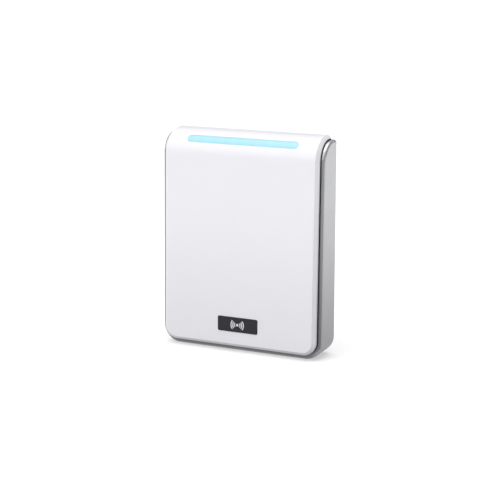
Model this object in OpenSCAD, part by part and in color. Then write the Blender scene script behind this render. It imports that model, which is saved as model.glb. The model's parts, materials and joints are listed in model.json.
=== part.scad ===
// Wall-mount card reader. A metal-look housing frame and a wrapped front cover hang by two
// pins in the hooks of a steel wall plate, and a captive screw under the bottom edge locks them.
// Origin: centre of the wall face. +X to the right, +Y into the wall, +Z up. Millimetres.

/* [Housing frame] */
// Width across the housing
body_w = 97; // [96:0.5:98]
// Height from the housing's bottom to the top of the cover
body_h = 121.5; // [121:0.5:124]
// Depth from the wall to the shoulder, at the top end
shoulder_top = 16.1; // [15.8:0.1:16.4]
// Depth from the wall to the shoulder, at the bottom end
shoulder_low = 18.8; // [18.4:0.1:19]
// How far the housing's top wall lies below the top of the cover
housing_drop = 2.45; // [2.3:0.05:2.6]
// Radius of the curve from shoulder to top wall
housing_curve_r = 11.2; // [10:0.2:12]
// Corner radius at the two bottom corners
housing_corner_r = 10; // [8:0.5:11]
// Wall thickness of the sides and bottom
housing_wall = 2.2; // [2:0.1:2.4]
// Wall thickness of the top
housing_top_wall = 1.8; // [1.6:0.1:1.8]
// Thickness of the flange that the cover sits on
flange_t = 2; // [1.6:0.1:2.4]
// Gap between the wall and the housing's rear rim
rim_gap = 0.8; // [0.6:0.1:1]

/* [Front cover] */
// Width of the cover
cover_w = 91.8; // [91.2:0.2:92.2]
// Height of the cover's bottom edge above the housing's bottom
cover_rise = 3.1; // [3:0.05:3.4]
// Depth from the wall to the face, at the top end
face_top = 19.6; // [19.4:0.1:20]
// Depth from the wall to the face, at the bottom end
face_low = 23.2; // [23:0.1:23.6]
// Radius of the curve that wraps over the top
cover_curve_r = 14; // [13.6:0.1:14.4]
// Corner radius at the two bottom corners
cover_corner_r = 7.2; // [6.5:0.1:8]
// Thickness of the cover's walls
cover_wall = 2; // [1.8:0.1:2.2]
// Shadow gap between the cover and the housing
shadow_gap = 0.7; // [0.5:0.05:0.8]
// Distance from the wall to the cover's rear edge on top
cover_back = 1.7; // [1.5:0.1:2]

/* [Light bar] */
// Length of the lit bar
bar_len = 66; // [60:1:70]
// Height of the lit bar
bar_w = 4.5; // [4:0.1:4.8]
// Angle of the bar on the curve, measured up from the face
bar_angle = 43; // [41:0.5:45]
// Number of lamps on the strip
lamp_count = 8; // [6:1:10]

/* [Badge] */
// Width of the badge plate
badge_w = 24; // [20:1:28]
// Height of the badge plate
badge_h = 8.2; // [7:0.2:10]
// Height of the badge's centre above the housing's bottom
badge_rise = 15.8; // [14:0.2:20]

/* [Wall plate] */
// Width of the wall plate
plate_w = 87; // [84:1:88]
// Thickness of the wall plate
plate_t = 2; // [1.8:0.1:2]
// Spacing of the two screw holes of an upright wall box
tall_box_spacing = 83.3; // [83.3]
// Spacing of the two screw holes of a square wall box
square_box_spacing = 60.3; // [60.3]
// Diameter of the wall screw holes
wall_hole_d = 4.4; // [4:0.1:4.8]
// Width of the cable opening
cable_open_w = 30; // [26:1:30]
// Height of the cable opening
cable_open_h = 14; // [12:1:14]

/* [Hinge and lock] */
// Diameter of the two hinge pins
pin_d = 2.5; // [2.5]
// Radial clearance of a pin in its hook
pin_clearance = 0.05; // [0.02:0.01:0.08]
// Distance of each hook from the middle
hook_x = 25; // [24:0.5:26]
// Width of a hook
hook_w = 8; // [7:0.5:9]
// Travel of the locking screw
screw_travel = 3.15; // [3:0.05:3.15]

/* [Hidden] */
half_h = body_h / 2;
half_w = body_w / 2;
housing_top = half_h - housing_drop;
cover_low = cover_rise - half_h;
far = 60;
badge_z = badge_rise - half_h;
face_tilt = atan((face_low - face_top) / body_h);
curve_z = half_h - cover_curve_r;
curve_y = cover_curve_r / cos(face_tilt) - depth_at(face_top, face_low, curve_z);

// Stations along Y, from the wall forwards
shell_rear = -4;
shell_front = -5.5;
ledge_front = -7;
board_rear = -9.4;
board_front = -11;
coil_front = -15.7;
coil_rear = -14;
sheet_rear = -13.4;
antenna_rear = -15.8;
antenna_front = -16.6;
trace_t = 0.15;

// Hinge
pin_y = -4.6;
pin_z = 54.3;
pin_len = 15;
hook_bore_r = pin_d / 2 + pin_clearance;
hook_r = hook_bore_r + 1;
hook_lip = 1;
plate_top = 50;
pocket_half = hook_w / 2 + 2;
cheek_t = 1.5;
cheek_rear = -2.9;
pocket_front = -7.2;
pocket_wall = 0.8;
shell_top = housing_top - housing_top_wall - 0.2;

// Locking screw
lock_y = -6.5;
lock_head_d = 5.6;
lock_head_h = 1.8;
lock_d = 3;
lock_head_z = 0.85 - half_h;
lock_tip_z = lock_head_z + 7.2;
recess_d = 6.2;
seat_z = lock_head_z + lock_head_h + screw_travel + 0.05;
seat_t = 1.2;
retainer_z = 0.2 - half_h;
retainer_t = 0.6;
tab_low = lock_tip_z + 0.3;
tab_t = 2.5;
tab_w = 14;
tab_front = -10;
lock_pocket_half = 12;
lock_pocket_front = -12;
lock_pocket_top = tab_low + tab_t + 2.4;

// Fastenings
boss_d = 7;
boss_x = 37.5;
boss_rows = [-49, 46];
insert_d = 4.6;
insert_len = 5;
m3_d = 3;
m3_head_d = 5;
m3_head_h = 1.4;
post_x = 34;
post_rows = [-40, 34];
post_d = 6;
board_screw_d = 2.1;
board_screw_head_d = 4.4;

// Boards and aerials
board_w = 74;
board_low = -44;
board_high = 38;
antenna_w = 76;
antenna_low = -14;
antenna_high = 40;
spacer_x = 28;
spacer_rows = [-10, 36];
aerial_z = (antenna_low + antenna_high) / 2;
coil_z = 11;
turns = 6;
turn_pitch = 1.4;
trace_w = 0.8;

// Terminals and tamper switch
terminal_z = -25;
terminal_count = 8;
terminal_pitch = 3.5;
terminal_rear = -4.6;
tamper_x = 28;
tamper_z = -20;
tamper_rod_d = 2.2;
tamper_rod_front = -7.4;
tamper_bore_floor = -8.6;
tamper_rear = -2.1;

// Depth of a sloping front at height z, given its depth at the top and bottom ends
function depth_at(d_top, d_low, z) = d_top + (d_low - d_top) * (half_h - z) / body_h;

// ---- Placing and extruding ----

module along_x(width) {
    rotate([90, 0, 90]) linear_extrude(height = width, center = true) children();
}

module along_y(y_front, y_rear) {
    translate([0, y_rear, 0]) rotate([90, 0, 0]) linear_extrude(height = y_rear - y_front) children();
}

module rod_x(d, len, x, y, z) {
    translate([x - len / 2, y, z]) rotate([0, 90, 0]) cylinder(d = d, h = len, $fn = 48);
}

module rod_y(d, y_front, y_rear, x, z) {
    translate([x, y_rear, z]) rotate([90, 0, 0]) cylinder(d = d, h = y_rear - y_front, $fn = 48);
}

module rod_z(d, z_low, z_high, y) {
    translate([0, y, z_low]) cylinder(d = d, h = z_high - z_low, $fn = 48);
}

module block(x_low, x_high, y_front, y_rear, z_low, z_high) {
    translate([x_low, y_front, z_low]) cube([x_high - x_low, y_rear - y_front, z_high - z_low]);
}

module at_all(columns, rows) {
    for (x = columns, z = rows) translate([x, 0, z]) children();
}

// The next two put their children on a slanted surface, with local +Z pointing out of it

module on_curve() {
    translate([0, curve_y, curve_z]) rotate([90 - bar_angle, 0, 0]) children();
}

module on_face(z) {
    translate([0, -depth_at(face_top, face_low, z), z]) rotate([90 - face_tilt, 0, 0]) children();
}

// ---- Outlines ----

// Points along an arc, from angle a0 to a1
function arc(centre, r, a0, a1, steps) =
    [for (i = [0:steps]) let (a = a0 + (a1 - a0) * i / steps) centre + r * [cos(a), sin(a)]];

// Side view: sloping front, a round curve over the top, open below
module side_profile(d_top, d_low, z_top, r, y_rear) {
    tilt = atan((d_low - d_top) / body_h);
    z_mid = z_top - r;
    y_mid = r / cos(tilt) - depth_at(d_top, d_low, z_mid);
    z_base = -half_h - 10;
    polygon(concat(
        [[y_rear, z_base], [-depth_at(d_top, d_low, z_base), z_base]],
        arc([y_mid, z_mid], r, 180 - tilt, 90, 24),
        [[y_rear, z_top]]
    ));
}

// Front view: straight sides, two round bottom corners, open above
module front_outline(half, z_low, r) {
    z_open = z_low + body_h + 10;
    polygon(concat(
        [[-half, z_open]],
        arc([r - half, z_low + r], r, 180, 270, 16),
        arc([half - r, z_low + r], r, 270, 360, 16),
        [[half, z_open]]
    ));
}

module rounded_rect(w, h, r) {
    for (x = [-1, 1], y = [-1, 1]) {
        translate([x * (w / 2 - r), y * (h / 2 - r)]) circle(r = r, $fn = 48);
    }
    square([w, h - 2 * r], center = true);
    square([w - 2 * r, h], center = true);
}

module pill(len, w) {
    for (x = [-1, 1]) translate([x * (len - w) / 2, 0]) circle(d = w, $fn = 48);
    square([len - w, w], center = true);
}

// ---- Solid forms ----

// Everything behind the housing's shoulder and curve, grown outwards
module behind_shoulder(grow, y_rear) {
    along_x(2 * body_w)
        side_profile(shoulder_top + grow, shoulder_low + grow, housing_top + grow,
                     housing_curve_r + grow, y_rear);
}

module housing_outline(inset) {
    front_outline(half_w - inset, inset - half_h, housing_corner_r - inset);
}

module cover_outline(inset) {
    front_outline(cover_w / 2 - inset, cover_low + inset, cover_corner_r - inset);
}

module cover_form(inset, side_inset, y_rear) {
    intersection() {
        along_x(2 * body_w)
            side_profile(face_top - inset, face_low - inset, half_h - inset,
                         cover_curve_r - inset, y_rear);
        along_y(-far, far) cover_outline(side_inset);
    }
}

// ---- Wall plate ----

module wall_plate() {
    plate_mid = (plate_top + tab_low) / 2;
    color("gainsboro") difference() {
        union() {
            along_y(-plate_t, 0) translate([0, plate_mid])
                rounded_rect(plate_w, plate_top - tab_low, 5);
            block(-tab_w / 2, tab_w / 2, tab_front, 0, tab_low, tab_low + tab_t);
            for (side = [-1, 1]) translate([side * hook_x, 0, 0]) hook();
        }
        for (side = [-1, 1]) {
            rod_y(wall_hole_d, -far, far, 0, side * tall_box_spacing / 2);
            rod_y(wall_hole_d, -far, far, side * square_box_spacing / 2, 0);
        }
        along_y(-far, far) translate([0, terminal_z]) rounded_rect(cable_open_w, cable_open_h, 3);
        rod_z(lock_d + 0.1, -far, 0, lock_y);
    }
}

// A hook that a hinge pin drops into from above
module hook() {
    difference() {
        union() {
            block(-hook_w / 2, hook_w / 2, -plate_t, 0, plate_top - 2, pin_z);
            block(-hook_w / 2, hook_w / 2, pin_y, 0, pin_z - hook_r, pin_z);
            rod_x(2 * hook_r, hook_w, 0, pin_y, pin_z);
        }
        rod_x(2 * hook_bore_r, far, 0, pin_y, pin_z);
        block(-far, far, pin_y - hook_bore_r, pin_y + hook_bore_r, pin_z, far + hook_lip);
        block(-far, far, -far, far, pin_z + hook_lip, far + hook_lip);
    }
}

// ---- Housing frame ----

module housing() {
    opening_half = 42;
    opening_low = cover_low + 3.6;
    rim_chamfer = 1;
    color("silver") difference() {
        union() {
            difference() {
                intersection() {
                    behind_shoulder(0, -rim_gap);
                    along_y(-far, far) housing_outline(0);
                }
                intersection() {
                    along_x(2 * body_w)
                        side_profile(shoulder_top - flange_t, shoulder_low - flange_t,
                                     housing_top - housing_top_wall,
                                     housing_curve_r - housing_top_wall, far);
                    along_y(-far, far) housing_outline(housing_wall);
                }
                along_y(-far, ledge_front) front_outline(opening_half, opening_low, 5);
            }
            shell_ledge();
            rod_z(recess_d + 3.8, -half_h + 1, seat_z + seat_t, lock_y);
        }
        rod_z(recess_d, -far - 10, seat_z, lock_y);
        rod_z(lock_d + 0.3, -far, 0, lock_y);
        along_x(2 * body_w) polygon([
            [-rim_gap - rim_chamfer, housing_top + 0.01],
            [-rim_gap + 0.01, housing_top + 0.01],
            [-rim_gap + 0.01, housing_top - rim_chamfer]
        ]);
    }
}

// Inner ledge that the rear shell is clamped against
module shell_ledge() {
    ledge_w = 2.8;
    difference() {
        along_y(ledge_front, shell_front) difference() {
            housing_outline(housing_wall - 0.2);
            housing_outline(housing_wall + ledge_w);
        }
        block(-far, far, -far, far, 47, 2 * far);
        block(-lock_pocket_half - 2, lock_pocket_half + 2, -far, far, -2 * far, -40);
    }
}

// ---- Rear shell ----

module rear_shell() {
    color("dimgray") difference() {
        union() {
            intersection() {
                along_y(shell_front, shell_rear) housing_outline(housing_wall + 0.2);
                block(-far, far, -far, far, -2 * far, shell_top);
            }
            at_all([-post_x, post_x], post_rows) rod_y(post_d, board_rear, shell_front + 0.1, 0, 0);
            for (side = [-1, 1]) translate([side * hook_x, 0, 0]) hook_pocket_walls();
            block(-lock_pocket_half - 1, lock_pocket_half + 1, lock_pocket_front - 1, shell_rear,
                  -half_h + housing_wall + 0.2, lock_pocket_top + 1);
        }
        for (side = [-1, 1]) translate([side * hook_x, 0, 0]) {
            block(-pocket_half, pocket_half, pocket_front, far, pin_z - 4.6, far);
            rod_x(pin_d, pin_len + 2, 0, pin_y, pin_z);
        }
        block(-lock_pocket_half, lock_pocket_half, lock_pocket_front, far, -2 * far, lock_pocket_top);
        along_y(-far, far) translate([0, terminal_z]) rounded_rect(32, 14, 1.5);
        rod_y(3, shell_front - 1, far, tamper_x, tamper_z);
        at_all([-post_x, post_x], post_rows) rod_y(board_screw_d, board_rear - 1, -6.2, 0, 0);
        at_all([-boss_x, boss_x], boss_rows) rod_y(m3_d + 0.2, -far, far, 0, 0);
    }
}

module hook_pocket_walls() {
    half = pocket_half + cheek_t;
    block(-half, half, pocket_front - pocket_wall, shell_rear, pin_z - 4.6 - pocket_wall, shell_top);
    block(-half, half, shell_rear - 0.1, cheek_rear, pin_z - 2.4, shell_top);
}

// ---- Front cover and its seal ----

module front_cover() {
    color("white") difference() {
        union() {
            difference() {
                cover_form(0, 0, -cover_back);
                behind_shoulder(shadow_gap, far);
                cover_form(cover_wall, cover_wall, far);
            }
            for (z = boss_rows) at_all([-boss_x, boss_x], [z])
                rod_y(boss_d, 1.1 - depth_at(face_top, face_low, z), shell_front, 0, 0);
        }
        on_curve() translate([0, 0, cover_curve_r - 4]) linear_extrude(height = 8)
            pill(bar_len + 0.4, bar_w + 0.4);
        on_face(badge_z) translate([0, 0, -0.6]) linear_extrude(height = 2)
            rounded_rect(badge_w + 0.2, badge_h + 0.2, 0.9);
        at_all([-boss_x, boss_x], boss_rows) rod_y(insert_d, shell_front - 5.6, far, 0, 0);
    }
}

module cover_seal() {
    lip_inset = -0.6;
    lip_w = 3.2;
    color("black") difference() {
        intersection() {
            behind_shoulder(shadow_gap, cover_back - 4.7);
            along_y(-far, far) cover_outline(lip_inset);
        }
        behind_shoulder(0, far);
        along_y(-far, -5.2) cover_outline(lip_inset + lip_w);
    }
}

// ---- Light bar ----

module light_bar_lens() {
    color("cyan") intersection() {
        on_curve() translate([0, 0, cover_curve_r - 4]) linear_extrude(height = 8)
            pill(bar_len, bar_w);
        difference() {
            cover_form(0.1, 0, far);
            cover_form(1.9, 1.9, 2 * far);
        }
    }
}

module light_guide() {
    color("paleturquoise") on_curve() translate([-31, -1.6, 10.4]) cube([62, 3.2, 1.55]);
}

module light_baffle() {
    color("dimgray") difference() {
        intersection() {
            on_curve() translate([-35, -3.2, 8.8]) cube([70, 6.4, 4]);
            cover_form(cover_wall, cover_wall, far);
        }
        on_curve() translate([-32.3, -2.3, 0]) cube([64.6, 4.6, 20]);
    }
}

module lamp_board() {
    color("seagreen") on_curve() translate([-32, -2.2, 8.8]) cube([64, 4.4, 0.8]);
}

module lamps() {
    pitch = 60 / lamp_count;
    color("lemonchiffon") on_curve() for (i = [0:lamp_count - 1]) {
        translate([(i - (lamp_count - 1) / 2) * pitch - 1.4, -1.2, 9.6]) cube([2.8, 2.4, 0.7]);
    }
}

module lamp_ribbon() {
    ribbon_t = 0.3;
    path = [[-12.6, 52.3], [-12.9, 50], [-12.2, 44], [-12.2, 37.4]];
    back = [for (i = [len(path) - 1:-1:0]) path[i] + [ribbon_t, 0]];
    color("wheat") translate([14, 0, 0]) along_x(8) polygon(concat(path, back));
}

module ribbon_socket() {
    color("ivory") block(9, 19, -12.9, board_front, 34.2, 37.4);
}

// ---- Badge ----

module badge_plate() {
    color("darkslategray") on_face(badge_z) translate([0, 0, -0.6]) linear_extrude(height = 0.9)
        rounded_rect(badge_w, badge_h, 0.8);
}

// A dot with three widening arcs on each side of it
module badge_symbol() {
    line_w = 0.6;
    color("gainsboro") on_face(badge_z) translate([0, 0, 0.3]) linear_extrude(height = 0.12) {
        circle(r = 0.75, $fn = 24);
        for (side = [0, 180], r = [1.7, 2.75, 3.8]) rotate(side) intersection() {
            difference() {
                circle(r = r + line_w / 2, $fn = 64);
                circle(r = r - line_w / 2, $fn = 64);
            }
            polygon([[0, 0], [5, -4], [5, 4]]);
        }
    }
}

// ---- Boards, aerials and parts ----

module main_board() {
    color("darkgreen") difference() {
        block(-board_w / 2, board_w / 2, board_front, board_rear, board_low, board_high);
        at_all([-post_x, post_x], post_rows) rod_y(board_screw_d + 0.3, -far, far, 0, 0);
    }
}

module antenna_board() {
    color("green") block(-antenna_w / 2, antenna_w / 2, antenna_front, antenna_rear,
                         antenna_low, antenna_high);
}

// Corner number k of a square spiral that steps in by one pitch each turn
function spiral_corner(k) =
    let (n = floor(k / 4), q = k % 4, a = 36, b = 25)
    q == 0 ? [-a + max(n - 1, 0) * turn_pitch, -b + n * turn_pitch] :
    q == 1 ? [a - n * turn_pitch, -b + n * turn_pitch] :
    q == 2 ? [a - n * turn_pitch, b - n * turn_pitch] :
    [-a + n * turn_pitch, b - n * turn_pitch];

module card_aerial() {
    color("goldenrod") along_y(antenna_front - trace_t, antenna_front) translate([0, aerial_z])
        for (k = [0:4 * turns - 2]) {
            low = [for (i = [0:1]) min(spiral_corner(k)[i], spiral_corner(k + 1)[i]) - trace_w / 2];
            high = [for (i = [0:1]) max(spiral_corner(k)[i], spiral_corner(k + 1)[i]) + trace_w / 2];
            translate(low) square(high - low);
        }
}

module low_band_coil() {
    color("peru") along_y(coil_front, coil_rear) translate([0, coil_z]) difference() {
        rounded_rect(44, 40, 8);
        rounded_rect(38, 34, 5);
    }
}

module ferrite_sheet() {
    color("darkgray") along_y(coil_rear, sheet_rear) translate([0, coil_z]) rounded_rect(48, 44, 2);
}

module antenna_spacers() {
    color("ivory") at_all([-spacer_x, spacer_x], spacer_rows) rod_y(5, antenna_rear, board_front, 0, 0);
}

module microcontroller() {
    color("black") block(-5, 5, -12, board_front, 9, 19);
}

module reader_chip() {
    color("black") block(11, 17, -11.9, board_front, -1, 5);
}

module radio_shield() {
    can_t = 0.2;
    color("lightgray") difference() {
        block(7, 27, -13.6, board_front, -37.5, -22.5);
        block(7 + can_t, 27 - can_t, -13.6 + can_t, 0, -37.5 + can_t, -22.5 - can_t);
    }
}

module crystal() {
    color("silver") block(-15.5, -10.5, -12.1, board_front, 0.4, 3.6);
}

module capacitors() {
    color("slategray") for (z = [-38, -30]) rod_y(6.3, -16.5, board_front, -6, z);
}

module power_inductor() {
    color("dimgray") block(-3, 3, -14, board_front, -22, -16);
}

module sounder() {
    color("black") difference() {
        rod_y(14, -15.5, board_front, -22, -30);
        rod_y(2, -16, -14.5, -22, -30);
    }
}

// ---- Terminals ----

module at_terminals() {
    for (i = [0:terminal_count - 1]) {
        translate([(i - (terminal_count - 1) / 2) * terminal_pitch, 0, terminal_z]) children();
    }
}

module terminal_block() {
    color("darkolivegreen") difference() {
        block(-14.5, 14.5, board_rear, terminal_rear, terminal_z - 4, terminal_z + 4);
        at_terminals() rod_y(2.6, -8, far, 0, 1);
        at_terminals() block(-1, 1, -8.2, -6.2, -5, -0.6);
    }
}

module terminal_screws() {
    color("gold") difference() {
        at_terminals() rod_y(2.4, -7.8, -5.1, 0, 1);
        at_terminals() block(-2, 2, -5.7, far, 0.75, 1.25);
    }
}

// ---- Fasteners ----

module board_screws() {
    color("silver") at_all([-post_x, post_x], post_rows) {
        rod_y(board_screw_head_d, board_front - 1.4, board_front, 0, 0);
        rod_y(board_screw_d, board_front - 0.1, -6.4, 0, 0);
    }
}

module cover_screws() {
    color("silver") at_all([-boss_x, boss_x], boss_rows) {
        rod_y(m3_head_d, shell_rear, shell_rear + m3_head_h, 0, 0);
        rod_y(m3_d, -10, shell_rear + 0.1, 0, 0);
    }
}

module threaded_inserts() {
    color("goldenrod") difference() {
        at_all([-boss_x, boss_x], boss_rows)
            rod_y(insert_d, shell_front - 0.1 - insert_len, shell_front - 0.1, 0, 0);
        at_all([-boss_x, boss_x], boss_rows) rod_y(m3_d, -far, far, 0, 0);
    }
}

module hinge_pins() {
    color("silver") for (side = [-1, 1]) rod_x(pin_d, pin_len, side * hook_x, pin_y, pin_z);
}

module screw_retainer() {
    color("gray") difference() {
        rod_z(recess_d, retainer_z, retainer_z + retainer_t, lock_y);
        rod_z(4.2, -2 * far, far, lock_y);
    }
}

module locking_screw() {
    socket_d = 2.6;
    color("silver") difference() {
        union() {
            rod_z(lock_head_d, lock_head_z, lock_head_z + lock_head_h, lock_y);
            rod_z(lock_d, lock_head_z + lock_head_h - 0.1, lock_tip_z, lock_y);
        }
        translate([0, lock_y, lock_head_z - 1]) cylinder(d = socket_d, h = 2.2, $fn = 6);
    }
}

// ---- Sealing and tamper switch ----

module weather_gasket() {
    color("black") along_y(shell_rear, -2.1) translate([0, terminal_z]) difference() {
        rounded_rect(40, 22, 4);
        rounded_rect(34, 16, 2);
    }
}

module tamper_switch() {
    color("black") difference() {
        block(tamper_x - 3, tamper_x + 3, board_rear, -6, tamper_z - 3, tamper_z + 3);
        rod_y(tamper_rod_d + 0.1, tamper_bore_floor, 0, tamper_x, tamper_z);
    }
}

// A short helical spring under the plunger, swept ring by ring
module tamper_spring() {
    wire_d = 0.24;
    coil_r = 0.85;
    spring_turns = 3;
    ring_steps = 16;
    sides = 8;
    rise = tamper_rod_front - tamper_bore_floor - wire_d - 0.06;
    last = ring_steps * spring_turns;
    points = [for (i = [0:last], j = [0:sides - 1])
        let (a = 360 * i / ring_steps, b = 360 * j / sides, r = coil_r + wire_d / 2 * cos(b))
        [r * cos(a), rise * i / last + wire_d / 2 * sin(b), r * sin(a)]];
    skin = [for (i = [0:last - 1], j = [0:sides - 1])
        [i * sides + j, i * sides + (j + 1) % sides,
         (i + 1) * sides + (j + 1) % sides, (i + 1) * sides + j]];
    first_cap = [for (j = [sides - 1:-1:0]) j];
    last_cap = [for (j = [0:sides - 1]) last * sides + j];
    color("silver") translate([tamper_x, tamper_bore_floor + wire_d / 2 + 0.03, tamper_z])
        polyhedron(points, concat([first_cap], skin, [last_cap]));
}

module tamper_plunger() {
    color("white") {
        rod_y(tamper_rod_d, tamper_rod_front, tamper_rear - 0.4, tamper_x, tamper_z);
        rod_y(tamper_rod_d - 0.6, tamper_rear - 0.5, tamper_rear, tamper_x, tamper_z);
    }
}

wall_plate();
housing();
rear_shell();
front_cover();
cover_seal();
light_bar_lens();
light_guide();
light_baffle();
lamp_board();
lamps();
lamp_ribbon();
ribbon_socket();
badge_plate();
badge_symbol();
main_board();
antenna_board();
card_aerial();
low_band_coil();
ferrite_sheet();
antenna_spacers();
microcontroller();
reader_chip();
radio_shield();
crystal();
capacitors();
power_inductor();
sounder();
terminal_block();
terminal_screws();
board_screws();
cover_screws();
threaded_inserts();
hinge_pins();
weather_gasket();
tamper_switch();
tamper_spring();
tamper_plunger();
screw_retainer();
locking_screw();
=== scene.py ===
"""Looks of a wall card reader: a white wrapped cover on a metal frame, hung on a steel wall plate."""

import json
import logging
import math
from collections.abc import Callable, Iterable, Sequence
from dataclasses import dataclass, field, replace
from enum import Enum

import bmesh
import bpy
from mathutils import Matrix, Vector


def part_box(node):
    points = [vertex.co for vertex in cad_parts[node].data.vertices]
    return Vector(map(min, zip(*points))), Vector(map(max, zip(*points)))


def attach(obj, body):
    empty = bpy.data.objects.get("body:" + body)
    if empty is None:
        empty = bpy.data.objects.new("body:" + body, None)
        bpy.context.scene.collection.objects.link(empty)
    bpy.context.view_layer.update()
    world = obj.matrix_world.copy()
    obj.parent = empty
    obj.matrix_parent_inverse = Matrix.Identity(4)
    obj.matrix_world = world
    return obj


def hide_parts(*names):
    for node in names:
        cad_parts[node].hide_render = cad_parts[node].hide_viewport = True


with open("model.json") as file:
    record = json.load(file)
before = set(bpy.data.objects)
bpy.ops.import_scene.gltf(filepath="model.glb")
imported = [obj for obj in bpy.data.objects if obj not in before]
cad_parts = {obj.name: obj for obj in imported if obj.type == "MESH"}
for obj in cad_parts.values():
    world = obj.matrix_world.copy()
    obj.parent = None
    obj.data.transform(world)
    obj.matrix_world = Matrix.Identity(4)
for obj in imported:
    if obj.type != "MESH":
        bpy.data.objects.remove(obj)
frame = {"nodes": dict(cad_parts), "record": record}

LOG = logging.getLogger("reader")
MM = 0.001
Triple = tuple[float, float, float]
Colour = Triple

# Half of the reader's height, whose middle is at the origin
HALF_HEIGHT = 60.75 * MM
# Gap between the cover and the frame, which the seal fills
SHADOW_GAP = 0.7 * MM
# Where forms that only cut end: past any depth, and past any edge
FAR = 60 * MM
BEYOND = 90 * MM
# Places this near each other count as the same
SAME = 1e-6
# How far inside a plane a point may be and still count as on it
NEAR = 0.01 * MM
# A corner radius that no plate has room for, so its ends are full rounds
FULL_ROUND = 9.0
# Strips in the curve over the top, in bottom corners outside and inside, and in a rounded outline
CURVE_STRIPS = 28
CORNER_STRIPS = 16
INNER_STRIPS = 12
OUTLINE_STRIPS = 6
# Rounding of the two sides of a chamfer
CHAMFER_EASE = 0.22 * MM


class Body(Enum):
    """The bodies that pieces ride on."""

    WALL = "wall_mount"
    READER = "reader"
    BUTTON = "tamper_button"
    LOCK = "lock"


class Cut(Enum):
    """Ways of working one closed form with another."""

    AWAY = "DIFFERENCE"
    COMMON = "INTERSECT"
    JOIN = "UNION"


# ---- Shader helpers ----


class Wire:
    """A node's output, on which Python's operators build Math nodes."""

    def __init__(self, bench: "Bench", socket: bpy.types.NodeSocket) -> None:
        """Holds the output socket and the bench it belongs to."""
        self.bench = bench
        self.socket = socket

    def _math(self, operation: str, first: "Wire | float", second: "Wire | float") -> "Wire":
        """One Math node of the operation named, on two numbers or wires."""
        return self.bench.add("ShaderNodeMath", {"operation": operation}, {0: first, 1: second})

    def __add__(self, other: "Wire | float") -> "Wire":
        """Sum."""
        return self._math("ADD", self, other)

    def __radd__(self, other: float) -> "Wire":
        """Sum with the number first."""
        return self._math("ADD", other, self)

    def __sub__(self, other: "Wire | float") -> "Wire":
        """Difference."""
        return self._math("SUBTRACT", self, other)

    def __rsub__(self, other: float) -> "Wire":
        """Difference with the number first."""
        return self._math("SUBTRACT", other, self)

    def __mul__(self, other: "Wire | float") -> "Wire":
        """Product."""
        return self._math("MULTIPLY", self, other)

    def __rmul__(self, other: float) -> "Wire":
        """Product with the number first."""
        return self._math("MULTIPLY", other, self)

    def __truediv__(self, other: "Wire | float") -> "Wire":
        """Quotient."""
        return self._math("DIVIDE", self, other)

    def wave(self) -> "Wire":
        """Sine of the number, in radians."""
        return self._math("SINE", self, 0.0)

    def above(self, level: "Wire | float") -> "Wire":
        """One where the number is above the level, and zero elsewhere."""
        return self._math("GREATER_THAN", self, level)

    def fraction(self) -> "Wire":
        """The part of the number after the point."""
        return self._math("FRACT", self, 0.0)

    def size(self) -> "Wire":
        """The number without its sign."""
        return self._math("ABSOLUTE", self, 0.0)

    def ramp(self, low: float, high: float, out_low: float = 0.0, out_high: float = 1.0) -> "Wire":
        """The number's place between low and high, as a smooth clamped step.

        Args:
            low: Input where the step begins.
            high: Input where the step ends.
            out_low: Output at and below low.
            out_high: Output at and above high.

        Returns:
            The stepped number.
        """
        settings = {"interpolation_type": "SMOOTHSTEP"}
        sockets = {0: self, 1: low, 2: high, 3: out_low, 4: out_high}
        return self.bench.add("ShaderNodeMapRange", settings, sockets)


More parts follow.
